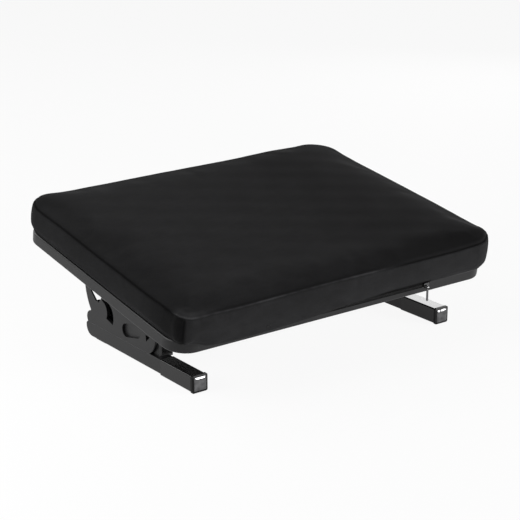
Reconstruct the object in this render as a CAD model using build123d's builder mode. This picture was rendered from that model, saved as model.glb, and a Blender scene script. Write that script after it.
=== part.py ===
"""Tilting office footrest: a zipped velvet cushion on a moulded tray that rocks on two side legs.

Sizes are in millimetres and degrees. +X is across the footrest, -Y is the low front edge with the zip,
+Z is up, and the origin lies on the floor under the middle of the footrest.
"""
import os
from math import cos, radians, sin, tan

from build123d import *

os.makedirs("parts", exist_ok=True)

# Driving dimensions of the tray, as it rests with its front edge down
tray_width = 450.0
tray_depth = 325.0
tray_corner_radius = 27.0
tray_height = 14.0
tray_edge_radius = 2.0
skirt_wall = 3.0
rim_height = 3.0
deck_wall = 3.0
rib_wall = 2.0
rib_setback = 1.5
rib_columns = 4
rib_rows = 4
beam_margin = 9.0
beam_lead = 36.0
rest_tilt = 9.5
front_edge_y = -150.6
front_edge_z = 58.3

# Driving dimensions of the base
base_width = 375.0
tube_size = 19.0
tube_wall = 1.5
tube_corner_radius = 1.8
tube_length = 60.0
plug_head = 3.0
plug_flare = 0.7
plug_corner_radius = 2.2
plug_point = 1.4
plug_point_size = 12.0
plug_insert = 12.0
spigot_gap = 8.0
foot_height = 1.0
rail_size = 17.0
rail_tail = 10.8
rail_edge_radius = 1.2
rail_heel_share = 0.7
rail_toe_share = 0.24
leg_front_behind = 88.0
post_setback = 10.7
leg_top_gap = 8.0
plate_setback = 0.4
plate_wall = 4.0
plate_edge_radius = 0.7
plate_root = 2.2
block_wall = 3.0
block_skin = 4.5
block_overhang = 6.0

# Driving dimensions of the tilt joint
pivot_behind = 214.0
pivot_z = 41.0
shaft_radius = 6.0
bush_wall = 2.0
bush_lip = 2.0
eye_wall = 4.0
hub_cover = 0.8
tie_radius = 3.0
tie_behind = 24.5
tie_below = 16.4
rear_lobe_radius = 9.2
blind_wall = 1.5
bracket_wall = 3.0
slot_play = 1.0
flange_width = 26.0
flange_lead = 42.0
flange_length = 116.0
sleeve_wall = 1.5

# Pierced pattern of the leg's outer plate
front_lobe_radius = 26.0
front_lobe_behind = 37.0
front_lobe_drop = 37.3
eyelet_corners = ((-6.7, -9.6), (-6.0, -1.8), (-14.5, -2.6))
recess_width = 16.0
recess_depth = 3.0
horn_wall = 2.0

# Outline of the leg around the hub, as distances behind and above the pivot, and as an angle round the hub
recess_front = (-76.0, -3.4)
recess_rear = (-53.5, -8.6)
panel_top_behind = -21.5
notch_low = (6.5, 7.5)
notch_rear = (19.7, 18.6)
seat_peak = (-2.7, 14.7)
seat_brow = (-15.0, 14.0)
seat_hollow = (-26.2, 2.0)
seat_tip = (-24.5, -10.7)
seat_foot_behind = -26.0
block_rear_behind = -24.0
hub_toe_angle = 213.2
cradle_brow = (9.0, 11.0)
horn_front_low = (10.2, 7.4)
horn_front_mid = (22.2, 18.0)
horn_front_high = (23.5, 33.0)
horn_rear_high = (35.5, 33.0)
horn_rear_mid = (32.7, 12.6)
horn_rear_low = (23.0, -6.6)

# Outline of the tilt arm, as distances behind and above the pivot
arm_heel = (2.0, -11.0)
arm_elbow_low = (22.5, -3.2)
arm_rear_low = (34.5, -1.3)
arm_rear_mid = (40.0, 6.5)
arm_rear_high = (42.0, 19.0)
arm_front_low = (10.5, 4.6)
arm_elbow_high = (21.3, 2.2)
arm_front_mid = (33.8, 13.4)
arm_front_high = (36.0, 30.0)
arm_head_front = 10.0
arm_head_rear = 56.0

# Driving dimensions of the cushion
cover_wall = 5.0
cushion_corner_radius = 38.0
cushion_side = 3.0
cushion_front = 12.7
cushion_rear = 4.0
cushion_bulge = 4.5
tuck_gap = 3.0
tuck_flare = 1.0
rim_clearance = 0.6
seam_height = 52.0
crown_height = 7.0
strip_wall = 1.0
strip_width = 25.0
strip_length = 200.0
strip_spacing = 240.0
strip_margin = 1.0

# Profile of the cushion's sides, as shares of the rise and of the bulge,
# and of its crown, as shares of half the tray's depth and of the crown's height
side_profile = ((0.04, -0.4), (0.08, 0.1), (0.17, 0.55), (0.36, 1.0), (0.62, 1.0), (0.85, 0.6), (1.0, 0.0))
crown_profile = ((0.03, 0.3), (0.086, 0.55), (0.21, 0.8), (0.43, 0.95), (0.68, 1.0))

# Driving dimensions of the zip
zip_length = 236.0
zip_height = 18.6
zip_recess_share = 0.52
recess_margin = 0.5
tape_wall = 0.6
tape_width = 1.8
chain_width = 2.8
chain_wall = 1.8
chain_round = 0.7
slider_nose = 3.7
slider_cheek = 1.6
slider_corner_radius = 1.6
slider_wall = 1.2
stop_length = 2.5
bail_radius = 0.6
bail_drop = 1.6
bail_room = 0.35
lug_wall = 0.9
lug_width = 1.8
lug_head = 0.9
pull_width = 2.6
pull_length = 16.0
pull_wall = 0.9
pull_corner_radius = 1.2
pull_eye_wall = 1.0

# Driving dimensions of the fasteners and rubber pieces
screw_radius = 2.0
screw_head_radius = 3.8
screw_head_height = 2.2
screw_socket_size = 1.5
screw_cover = 4.0
tube_screw_bite = 7.0
screws_per_bracket = 3
ring_width = 3.5
ring_wall = 1.2
ring_groove = 0.6
ring_opening = 5.0
foot_width = 11.0
foot_corner_radius = 3.6
foot_seat = 0.8
front_foot_inset = 3.0
front_foot_gap = 6.2
rear_foot_length = 26.0
rear_foot_ahead = 16.0
bumper_radius = 5.5
bumper_behind = 14.0

# Clearances
running_fit = 0.05
seat_gap = 0.2
push_fit = 0.05
slider_gap = 0.2

# Frame of the tilted tray: local x is across, local y runs up the slope, local z stands off its underside
slope = radians(rest_tilt)
deck_frame = Plane(
    origin=(0, front_edge_y, front_edge_z),
    x_dir=(1, 0, 0),
    z_dir=(0, -sin(slope), cos(slope)),
)
deck_z = tray_height - rim_height

# Radii round the tilt pivot, from the shaft outwards
bush_radius = shaft_radius + running_fit + bush_wall
bush_flange_radius = shaft_radius + bush_wall + bush_lip
eye_radius = shaft_radius + bush_wall + eye_wall
hub_radius = eye_radius + hub_cover

# Planes of the left leg, from its outer face towards the middle
slot_width = bracket_wall + 2 * slot_play
rail_step = (tube_size - rail_size) / 2
tube_x = -(base_width - tube_size) / 2
tube_z = foot_height + tube_size / 2
tube_bore = tube_size - 2 * tube_wall
rail_outer_x = tube_x - rail_size / 2
rail_inner_x = tube_x + rail_size / 2
rail_top = tube_z + rail_size / 2
plate_x = rail_outer_x + plate_setback
slot_x = plate_x + plate_wall
cheek_x = slot_x + slot_width
bracket_x = slot_x + slot_play
bore_x = plate_x + blind_wall
block_inner_x = rail_inner_x + block_overhang

# Places along the leg
leg_front_y = front_edge_y + leg_front_behind
pivot_y = front_edge_y + pivot_behind
tie_y = pivot_y + tie_behind
tie_z = pivot_z - tie_below
rail_rear_y = tie_y + rail_tail
rail_length = rail_rear_y - leg_front_y
post_y = leg_front_y + post_setback
lobe_y = leg_front_y + front_lobe_behind
block_rear_y = pivot_y + block_rear_behind
seat_foot_y = pivot_y + seat_foot_behind
panel_top_y = pivot_y + panel_top_behind
plate_foot_z = rail_top - plate_root
spigot_length = tube_length - plug_insert - spigot_gap
rod_half_length = -(bore_x + seat_gap)


def under_tray(y, drop):
    """Height of the plane that lies a given drop below the tray's underside, at a place along Y."""
    return front_edge_z + (y - front_edge_y) * tan(slope) - drop / cos(slope)


def about_pivot(place):
    """Point in the leg's plane, given as distances behind and above the tilt pivot."""
    return (pivot_y + place[0], pivot_z + place[1])


def on_hub(angle):
    """Point on the hub's rim, at an angle from straight behind it."""
    return (pivot_y + hub_radius * cos(radians(angle)), pivot_z + hub_radius * sin(radians(angle)))


def write(builder, name):
    """Labels a finished piece and writes its file."""
    builder.part.label = name
    export_step(builder.part, f"parts/{name}.step")


# The cradle under the hub joins the front panel, the hub and the rear lobe
front_lobe_z = under_tray(lobe_y, front_lobe_drop)
cradle_outline = [
    (seat_foot_y, plate_foot_z),
    (tie_y, plate_foot_z),
    (tie_y, tie_z + rear_lobe_radius),
    about_pivot(cradle_brow),
    on_hub(hub_toe_angle),
    about_pivot(seat_tip),
]

# Left leg: rail, pierced outer plate, front block and inner cheek, moulded in one
with BuildPart() as left_leg:
    with BuildSketch(Plane.YZ.offset(rail_outer_x)) as rail_side:
        with Locations((leg_front_y + rail_length / 2, tube_z)):
            Rectangle(rail_length, rail_size)
        fillet(rail_side.vertices().group_by(Axis.X)[-1].sort_by(Axis.Y)[0], rail_size * rail_heel_share)
        fillet(rail_side.vertices().group_by(Axis.X)[-1].sort_by(Axis.Y)[-1], rail_size * rail_toe_share)
    extrude(amount=rail_size)
    fillet(left_leg.faces().filter_by(Axis.X).sort_by(Axis.X)[0].edges(), rail_edge_radius)

    with BuildSketch(Plane.YZ.offset(plate_x)) as plate_side:
        with BuildLine():
            Polyline(
                (pivot_y, pivot_z),
                (pivot_y, plate_foot_z),
                (lobe_y, plate_foot_z),
                (lobe_y, under_tray(lobe_y, leg_top_gap)),
                (panel_top_y, under_tray(panel_top_y, leg_top_gap)),
                about_pivot(notch_low),
                (pivot_y, pivot_z),
            )
        make_face()
        with BuildLine():
            ThreePointArc(about_pivot(seat_brow), about_pivot(seat_hollow), about_pivot(seat_tip))
            Polyline(
                about_pivot(seat_tip),
                on_hub(hub_toe_angle),
                (pivot_y, pivot_z),
                about_pivot(seat_peak),
                about_pivot(seat_brow),
            )
        make_face(mode=Mode.SUBTRACT)
        Polygon(*cradle_outline, align=None)
        with Locations((lobe_y, front_lobe_z)):
            Circle(front_lobe_radius)
        with Locations((pivot_y, pivot_z)):
            Circle(hub_radius)
        Polygon(
            (panel_top_y, under_tray(panel_top_y, leg_top_gap)),
            about_pivot(notch_low),
            about_pivot(notch_rear),
            align=None,
            mode=Mode.SUBTRACT,
        )
        with Locations((tie_y, tie_z)):
            Circle(rear_lobe_radius)
        Polygon(
            *[(lobe_y + behind, front_lobe_z + above) for behind, above in eyelet_corners],
            align=None,
            mode=Mode.SUBTRACT,
        )
    extrude(amount=plate_wall)
    near_x = plate_x - plate_setback / 2
    far_x = plate_x + plate_setback / 2
    plate_face = left_leg.faces().filter_by(Axis.X).filter_by_position(Axis.X, near_x, far_x)
    rim_edges = plate_face[0].outer_wire().edges()
    proud_edges = rim_edges.filter_by(lambda edge: edge.center().Z > rail_top + rail_edge_radius)
    fillet(proud_edges, plate_edge_radius)

    with BuildSketch(Plane.YZ.offset(slot_x)):
        Polygon(
            (post_y, plate_foot_z),
            (block_rear_y, plate_foot_z),
            (block_rear_y, under_tray(block_rear_y, leg_top_gap)),
            (post_y, under_tray(post_y, leg_top_gap)),
            align=None,
        )
    extrude(amount=block_inner_x - slot_x)

    with BuildSketch(Plane.YZ.offset(cheek_x)):
        Polygon(*cradle_outline, align=None)
        with Locations((pivot_y, pivot_z)):
            Circle(hub_radius)
        with Locations((tie_y, tie_z)):
            Circle(rear_lobe_radius)
        Polygon(
            (block_rear_y - block_wall, plate_foot_z),
            (pivot_y, plate_foot_z),
            on_hub(hub_toe_angle),
            (block_rear_y - block_wall, about_pivot(seat_tip)[1]),
            align=None,
        )
    extrude(amount=rail_inner_x - cheek_x)

    # Thin horn of the outer plate, which covers the tilt arm behind the hub
    with BuildSketch(Plane.YZ.offset(plate_x)):
        with BuildLine():
            Polyline(
                about_pivot(horn_rear_low),
                (pivot_y, pivot_z),
                about_pivot(horn_front_low),
                about_pivot(horn_front_mid),
                about_pivot(horn_front_high),
                about_pivot(horn_rear_high),
            )
            ThreePointArc(about_pivot(horn_rear_high), about_pivot(horn_rear_mid), about_pivot(horn_rear_low))
        make_face()
    extrude(amount=horn_wall)

    # Slot-shaped recess in the outer face
    recess_y = pivot_y + (recess_front[0] + recess_rear[0]) / 2
    recess_z = pivot_z + (recess_front[1] + recess_rear[1]) / 2
    with BuildSketch(Plane.YZ.offset(plate_x)):
        SlotCenterPoint((recess_y, recess_z), about_pivot(recess_rear), recess_width)
    extrude(amount=recess_depth, mode=Mode.SUBTRACT)

    # Two pockets lighten the block from the inner side; the front one opens forward as well
    block_mid_y = (post_y + block_rear_y) / 2
    with BuildSketch(Plane.YZ.offset(slot_x + block_skin)):
        for near_y, far_y in ((post_y - 2 * block_wall, block_mid_y), (block_mid_y, block_rear_y)):
            Polygon(
                (near_y + block_wall, rail_top + block_wall),
                (far_y - block_wall, rail_top + block_wall),
                (far_y - block_wall, under_tray(far_y - block_wall, leg_top_gap + block_wall)),
                (near_y + block_wall, under_tray(near_y + block_wall, leg_top_gap + block_wall)),
                align=None,
            )
    extrude(amount=block_inner_x - slot_x - block_skin, mode=Mode.SUBTRACT)

    # Square spigot that the front tube slides over
    with BuildSketch(Plane.XZ.offset(-leg_front_y)):
        with Locations((tube_x, tube_z)):
            Rectangle(tube_bore - 2 * push_fit, tube_bore - 2 * push_fit)
    extrude(amount=spigot_length)

    # Blind bores for the pivot shaft and the tie rod
    with BuildSketch(Plane.YZ.offset(bore_x)):
        with Locations((pivot_y, pivot_z)):
            Circle(shaft_radius)
        with Locations((tie_y, tie_z)):
            Circle(tie_radius)
    extrude(amount=rail_inner_x - bore_x, mode=Mode.SUBTRACT)

    # Thread hole for the tube's screw and a seat for the rear foot
    tube_screw_y = leg_front_y - spigot_length / 2
    with BuildSketch(Plane.XY.offset(foot_height + tube_wall)):
        with Locations((tube_x, tube_screw_y)):
            Circle(screw_radius)
    extrude(amount=tube_screw_bite + push_fit, mode=Mode.SUBTRACT)
    rear_foot_y = rail_rear_y - rail_size * rail_heel_share - rear_foot_ahead
    with BuildSketch(Plane.XY.offset(foot_height + rail_step)):
        with Locations((tube_x, rear_foot_y)):
            RectangleRounded(foot_width, rear_foot_length, foot_corner_radius)
    extrude(amount=foot_seat, mode=Mode.SUBTRACT)
write(left_leg, "left_leg")

# Left front tube, with its clearance hole for the screw
with BuildPart() as left_tube:
    with BuildSketch(Plane.XZ.offset(-leg_front_y)):
        with Locations((tube_x, tube_z)):
            RectangleRounded(tube_size, tube_size, tube_corner_radius)
            Rectangle(tube_bore, tube_bore, mode=Mode.SUBTRACT)
    extrude(amount=tube_length)
    with BuildSketch(Plane.XY.offset(foot_height)):
        with Locations((tube_x, tube_screw_y)):
            Circle(screw_radius + push_fit)
    extrude(amount=tube_wall, mode=Mode.SUBTRACT)
write(left_tube, "left_tube")

# Left end plug: a square head with a shallow faceted point, and an insert in the tube
tube_front_y = leg_front_y - tube_length
with BuildPart() as left_tube_plug:
    plug_size = tube_size + 2 * plug_flare
    with BuildSketch(Plane.XZ.offset(-tube_front_y)):
        with Locations((tube_x, tube_z)):
            RectangleRounded(plug_size, plug_size, plug_corner_radius)
    extrude(amount=plug_head)
    with BuildSketch(Plane.XZ.offset(-tube_front_y + plug_head)):
        with Locations((tube_x, tube_z)):
            RectangleRounded(plug_size, plug_size, plug_corner_radius)
    with BuildSketch(Plane.XZ.offset(-tube_front_y + plug_head + plug_point)):
        with Locations((tube_x, tube_z)):
            RectangleRounded(plug_point_size, plug_point_size, plug_corner_radius / 2)
    loft(ruled=True)
    with BuildSketch(Plane.XZ.offset(-tube_front_y)):
        with Locations((tube_x, tube_z)):
            Rectangle(tube_bore - 2 * push_fit, tube_bore - 2 * push_fit)
    extrude(amount=-plug_insert)
write(left_tube_plug, "left_tube_plug")

# Left tilt bracket: a steel plate with the eye on the shaft, an arm up to the tray and a screwed flange
flange_front = pivot_behind - flange_lead
screw_pitch = flange_length / screws_per_bracket
screw_x = bracket_x + bracket_wall + (flange_width - bracket_wall) / 2
screw_places = [(screw_x, flange_front + (i + 0.5) * screw_pitch) for i in range(screws_per_bracket)]
with BuildPart() as left_bracket:
    head_front_y = pivot_y + arm_head_front
    head_rear_y = pivot_y + arm_head_rear
    with BuildSketch(Plane.YZ.offset(bracket_x)):
        with BuildLine():
            Polyline(
                about_pivot(arm_rear_high),
                (head_rear_y, under_tray(head_rear_y, bracket_wall / 2)),
                (head_front_y, under_tray(head_front_y, bracket_wall / 2)),
                about_pivot(arm_front_high),
                about_pivot(arm_front_mid),
                about_pivot(arm_elbow_high),
                about_pivot(arm_front_low),
                (pivot_y, pivot_z),
                about_pivot(arm_heel),
                about_pivot(arm_elbow_low),
                about_pivot(arm_rear_low),
            )
            ThreePointArc(about_pivot(arm_rear_low), about_pivot(arm_rear_mid), about_pivot(arm_rear_high))
        make_face()
        with Locations((pivot_y, pivot_z)):
            Circle(eye_radius)
            Circle(bush_radius, mode=Mode.SUBTRACT)
    extrude(amount=bracket_wall)
    with BuildSketch(deck_frame.offset(-bracket_wall)):
        with Locations((bracket_x + flange_width / 2, flange_front + flange_length / 2)):
            Rectangle(flange_width, flange_length)
        with Locations(*screw_places):
            Circle(screw_radius + push_fit, mode=Mode.SUBTRACT)
    extrude(amount=bracket_wall)
write(left_bracket, "left_bracket")

# Left bush: a plastic sleeve in the bracket's eye, with a thin flange on each side
with BuildPart() as left_bush:
    with BuildSketch(Plane.YZ.offset(slot_x + seat_gap / 2)):
        with Locations((pivot_y, pivot_z)):
            Circle(bush_flange_radius)
    extrude(amount=bracket_x - slot_x - seat_gap / 2)
    with BuildSketch(Plane.YZ.offset(bracket_x)):
        with Locations((pivot_y, pivot_z)):
            Circle(bush_radius)
    extrude(amount=bracket_wall)
    with BuildSketch(Plane.YZ.offset(bracket_x + bracket_wall)):
        with Locations((pivot_y, pivot_z)):
            Circle(bush_flange_radius)
    extrude(amount=cheek_x - seat_gap / 2 - bracket_x - bracket_wall)
    with BuildSketch(Plane.YZ.offset(slot_x)):
        with Locations((pivot_y, pivot_z)):
            Circle(shaft_radius + running_fit)
    extrude(amount=slot_width, mode=Mode.SUBTRACT)
write(left_bush, "left_bush")

# The right side mirrors the left
for left_piece, right_name in (
    (left_leg, "right_leg"),
    (left_tube, "right_tube"),
    (left_tube_plug, "right_tube_plug"),
    (left_bracket, "right_bracket"),
    (left_bush, "right_bush"),
):
    with BuildPart() as right_piece:
        mirror(left_piece.part, about=Plane.YZ)
    write(right_piece, right_name)

# Screws that hold the tubes on the spigots, driven from below
with BuildPart() as tube_screws:
    for x in (tube_x, -tube_x):
        with BuildSketch(Plane.XY.offset(foot_height)):
            with Locations((x, tube_screw_y)):
                Circle(screw_radius)
        extrude(amount=tube_wall + tube_screw_bite)
        with BuildSketch(Plane.XY.offset(foot_height)):
            with Locations((x, tube_screw_y)):
                Circle(screw_head_radius)
                RegularPolygon(screw_socket_size, 6, mode=Mode.SUBTRACT)
        extrude(amount=-foot_height / 2)
write(tube_screws, "tube_screws")

# Rubber feet: pads under the tubes, and deeper pads seated in the rails
front_foot_near = tube_front_y + front_foot_inset
front_foot_far = tube_screw_y - screw_head_radius - front_foot_gap
front_foot_y = (front_foot_near + front_foot_far) / 2
with BuildPart() as front_feet:
    with BuildSketch():
        with Locations((tube_x, front_foot_y), (-tube_x, front_foot_y)):
            RectangleRounded(foot_width, front_foot_far - front_foot_near, foot_corner_radius)
    extrude(amount=foot_height)
write(front_feet, "front_feet")

with BuildPart() as rear_feet:
    with BuildSketch():
        with Locations((tube_x, rear_foot_y), (-tube_x, rear_foot_y)):
            RectangleRounded(foot_width, rear_foot_length, foot_corner_radius)
    extrude(amount=foot_height + rail_step + foot_seat)
write(rear_feet, "rear_feet")

# Pivot shaft across both hubs, with a groove for the ring inside each leg
ring_x = rail_inner_x + seat_gap
with BuildPart() as pivot_shaft:
    with BuildSketch(Plane.YZ.offset(-rod_half_length)):
        with Locations((pivot_y, pivot_z)):
            Circle(shaft_radius)
    extrude(amount=2 * rod_half_length)
    for x in (ring_x, -ring_x - ring_wall):
        with BuildSketch(Plane.YZ.offset(x)):
            with Locations((pivot_y, pivot_z)):
                Circle(shaft_radius)
                Circle(shaft_radius - ring_groove, mode=Mode.SUBTRACT)
        extrude(amount=ring_wall, mode=Mode.SUBTRACT)
write(pivot_shaft, "pivot_shaft")

# Open retaining rings in those grooves
with BuildPart() as shaft_rings:
    for x in (ring_x, -ring_x - ring_wall):
        with BuildSketch(Plane.YZ.offset(x)):
            with Locations((pivot_y, pivot_z)):
                Circle(shaft_radius + ring_width)
                Circle(shaft_radius - ring_groove, mode=Mode.SUBTRACT)
            with Locations((pivot_y, pivot_z - shaft_radius - ring_width / 2)):
                Rectangle(ring_opening, 2 * ring_width, mode=Mode.SUBTRACT)
        extrude(amount=ring_wall)
write(shaft_rings, "shaft_rings")

# Tie rod across the rear lobes
with BuildPart() as tie_rod:
    with BuildSketch(Plane.YZ.offset(-rod_half_length)):
        with Locations((tie_y, tie_z)):
            Circle(tie_radius)
    extrude(amount=2 * rod_half_length)
write(tie_rod, "tie_rod")

# Rubber sleeves on the tie rod, where the tilt arms land
with BuildPart() as stop_sleeves:
    for x in (slot_x + seat_gap, -cheek_x + seat_gap):
        with BuildSketch(Plane.YZ.offset(x)):
            with Locations((tie_y, tie_z)):
                Circle(tie_radius + sleeve_wall)
                Circle(tie_radius, mode=Mode.SUBTRACT)
        extrude(amount=slot_width - 2 * seat_gap)
write(stop_sleeves, "stop_sleeves")

# Rubber bumpers on the front posts, which carry the tray's front while it rests
bumper_x = (slot_x + block_inner_x) / 2
bumper_up = (post_y + bumper_behind - front_edge_y) / cos(slope)
with BuildPart() as front_bumpers:
    with BuildSketch(deck_frame.offset(-leg_top_gap)):
        with Locations((bumper_x, bumper_up), (-bumper_x, bumper_up)):
            Circle(bumper_radius)
    extrude(amount=leg_top_gap - seat_gap)
write(front_bumpers, "front_bumpers")

# Tray: skirt and rim around a deck, with ribs and two mounting beams underneath
inner_width = tray_width - 2 * skirt_wall
inner_depth = tray_depth - 2 * skirt_wall
inner_corner_radius = tray_corner_radius - skirt_wall
straight_width = inner_width - 2 * inner_corner_radius
straight_depth = inner_depth - 2 * inner_corner_radius
deck_bottom = deck_z - deck_wall
beam_x = bracket_x + flange_width / 2
beam_front = bumper_up - beam_lead
beam_length = flange_front + flange_length + beam_margin - beam_front
bracket_screw_bite = deck_z - screw_cover
with BuildPart() as tray:
    with BuildSketch(deck_frame):
        with Locations((0, tray_depth / 2)):
            RectangleRounded(tray_width, tray_depth, tray_corner_radius)
    extrude(amount=tray_height)
    fillet(tray.faces().sort_by(Axis.Z)[0].edges(), tray_edge_radius)
    with BuildSketch(deck_frame.offset(tray_height)):
        with Locations((0, tray_depth / 2)):
            RectangleRounded(inner_width, inner_depth, inner_corner_radius)
    extrude(amount=-rim_height, mode=Mode.SUBTRACT)
    with BuildSketch(deck_frame):
        with Locations((0, tray_depth / 2)):
            RectangleRounded(inner_width, inner_depth, inner_corner_radius)
    extrude(amount=deck_bottom, mode=Mode.SUBTRACT)
    with BuildSketch(deck_frame.offset(rib_setback)):
        with Locations((0, tray_depth / 2)):
            with GridLocations(straight_width / rib_columns, 0, rib_columns + 1, 1):
                Rectangle(rib_wall, inner_depth + skirt_wall)
            with GridLocations(0, straight_depth / rib_rows, 1, rib_rows + 1):
                Rectangle(inner_width + skirt_wall, rib_wall)
    extrude(amount=deck_bottom - rib_setback)
    with BuildSketch(deck_frame):
        with Locations((beam_x, beam_front + beam_length / 2), (-beam_x, beam_front + beam_length / 2)):
            Rectangle(flange_width + 2 * beam_margin, beam_length)
    extrude(amount=deck_bottom)
    with BuildSketch(deck_frame):
        for x, up in screw_places:
            with Locations((x, up), (-x, up)):
                Circle(screw_radius)
    extrude(amount=bracket_screw_bite + push_fit, mode=Mode.SUBTRACT)
write(tray, "tray")

# Screws up through the bracket flanges into the tray's beams
socket_floor = screw_head_height / 3
with BuildPart() as bracket_screws:
    for x, up in screw_places:
        for side_x in (x, -x):
            with BuildSketch(deck_frame.offset(-bracket_wall - screw_head_height)):
                with Locations((side_x, up)):
                    Circle(screw_head_radius)
                    RegularPolygon(screw_socket_size, 6, mode=Mode.SUBTRACT)
            extrude(amount=screw_head_height)
            with BuildSketch(deck_frame.offset(-bracket_wall - socket_floor)):
                with Locations((side_x, up)):
                    Circle(screw_radius)
            extrude(amount=bracket_wall + socket_floor + bracket_screw_bite)
write(bracket_screws, "bracket_screws")

# Hook tape on the deck and loop tape under the cushion
strip_places = [(-strip_spacing / 2, tray_depth / 2), (strip_spacing / 2, tray_depth / 2)]
loop_z = deck_z + strip_wall + seat_gap
with BuildPart() as hook_strips:
    with BuildSketch(deck_frame.offset(deck_z)):
        with Locations(*strip_places):
            Rectangle(strip_width, strip_length)
    extrude(amount=strip_wall)
write(hook_strips, "hook_strips")

with BuildPart() as loop_strips:
    with BuildSketch(deck_frame.offset(loop_z)):
        with Locations(*strip_places):
            Rectangle(strip_width, strip_length)
    extrude(amount=strip_wall)
write(loop_strips, "loop_strips")

# Cushion outline: each ring has its height and how far it stands past the seam line all round.
# The sides are tucked in behind the rim, swell below the seam and close over the crown.
cushion_foot = deck_z + seat_gap
cushion_rise = seam_height - tray_height
cushion_tuck = skirt_wall + tuck_gap


def cushion_ring(height, side, front, rear, radius, shrink):
    """Rounded outline of the cushion at one height, shrunk on all sides for what lies inside the cover."""
    width = tray_width + 2 * (side - shrink)
    near = -front + shrink
    far = tray_depth + rear - shrink
    with BuildSketch(deck_frame.offset(height)) as ring:
        with Locations((0, (near + far) / 2)):
            RectangleRounded(width, far - near, radius - shrink)
    return ring.sketch


def tucked(height, grow, radius):
    """Ring inside the rim, at a height and grown evenly from the tray's outline."""
    return (height, grow, grow, grow, radius)


def standing(height, grow):
    """Ring past the rim, at a height and grown evenly from the seam line."""
    return (height, cushion_side + grow, cushion_front + grow, cushion_rear + grow, cushion_corner_radius)


cushion_rings = [
    tucked(cushion_foot, -cushion_tuck, cushion_corner_radius - cushion_tuck),
    tucked(tray_height + rim_clearance, tuck_flare - cushion_tuck, cushion_corner_radius),
]
for rise_share, bulge_share in side_profile:
    cushion_rings.append(standing(tray_height + cushion_rise * rise_share, cushion_bulge * bulge_share))
for depth_share, crown_share in crown_profile:
    cushion_rings.append(standing(seam_height + crown_height * crown_share, -tray_depth / 2 * depth_share))
cushion_top = seam_height + crown_height
core_share = (cushion_top - cushion_foot - 2 * cover_wall) / (cushion_top - cushion_foot)


def core_height(height):
    """Height inside the cover that answers to a height on its outside."""
    return cushion_foot + cover_wall + (height - cushion_foot) * core_share


def front_reach(height):
    """How far the cover's front stands past the tray's front edge, at a height between two rings."""
    for below, above in zip(cushion_rings, cushion_rings[1:]):
        if below[0] <= height <= above[0]:
            share = (height - below[0]) / (above[0] - below[0])
            return below[2] + (above[2] - below[2]) * share
    raise ValueError("the height lies outside the cushion")


with BuildPart() as foam_core:
    for height, *outline in cushion_rings:
        add(cushion_ring(core_height(height), *outline, cover_wall))
    loft(ruled=True)
write(foam_core, "foam_core")

# Zip frame: local x is along the zip, local y up the cushion's front, local z out of it.
# Its floor is the bottom of the long recess in the cover.
zip_recess = cover_wall * zip_recess_share
zip_frame = Plane(
    origin=deck_frame.from_local_coords((0, zip_recess - front_reach(zip_height), zip_height)),
    x_dir=(1, 0, 0),
    z_dir=-deck_frame.y_dir,
)
zip_half_width = chain_width / 2 + tape_width

with BuildPart() as cushion_cover:
    for height, *outline in cushion_rings:
        add(cushion_ring(height, *outline, 0))
    loft(ruled=True)
    add(foam_core.part, mode=Mode.SUBTRACT)
    with BuildSketch(deck_frame.offset(cushion_foot)):
        with Locations(*strip_places):
            Rectangle(strip_width + 2 * strip_margin, strip_length + 2 * strip_margin)
    extrude(amount=loop_z + strip_wall - cushion_foot, mode=Mode.SUBTRACT)
    with BuildSketch(zip_frame):
        RectangleRounded(zip_length + 2 * stop_length, 2 * (zip_half_width + recess_margin), chain_width)
    extrude(amount=zip_recess + cushion_bulge, mode=Mode.SUBTRACT)
write(cushion_cover, "cushion_cover")

# Zip tapes either side of the chain
tape_offset = (chain_width + tape_width) / 2
with BuildPart() as zip_tapes:
    with BuildSketch(zip_frame):
        with Locations((0, tape_offset), (0, -tape_offset)):
            Rectangle(zip_length, tape_width)
    extrude(amount=tape_wall)
write(zip_tapes, "zip_tapes")

# Closed coil chain, with a rounded back
with BuildPart() as zip_chain:
    with BuildSketch(zip_frame):
        Rectangle(zip_length - 2 * stop_length, chain_width)
    extrude(amount=chain_wall)
    fillet(zip_chain.faces().sort_by(Axis.Y)[0].edges().filter_by(Axis.X), chain_round)
write(zip_chain, "zip_chain")

# Stops that close each end of the chain
stop_place = (zip_length - stop_length) / 2
with BuildPart() as zip_stops:
    with BuildSketch(zip_frame):
        with Locations((stop_place, 0), (-stop_place, 0)):
            RectangleRounded(stop_length, chain_width, chain_round)
    extrude(amount=chain_wall)
write(zip_stops, "zip_stops")

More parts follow.
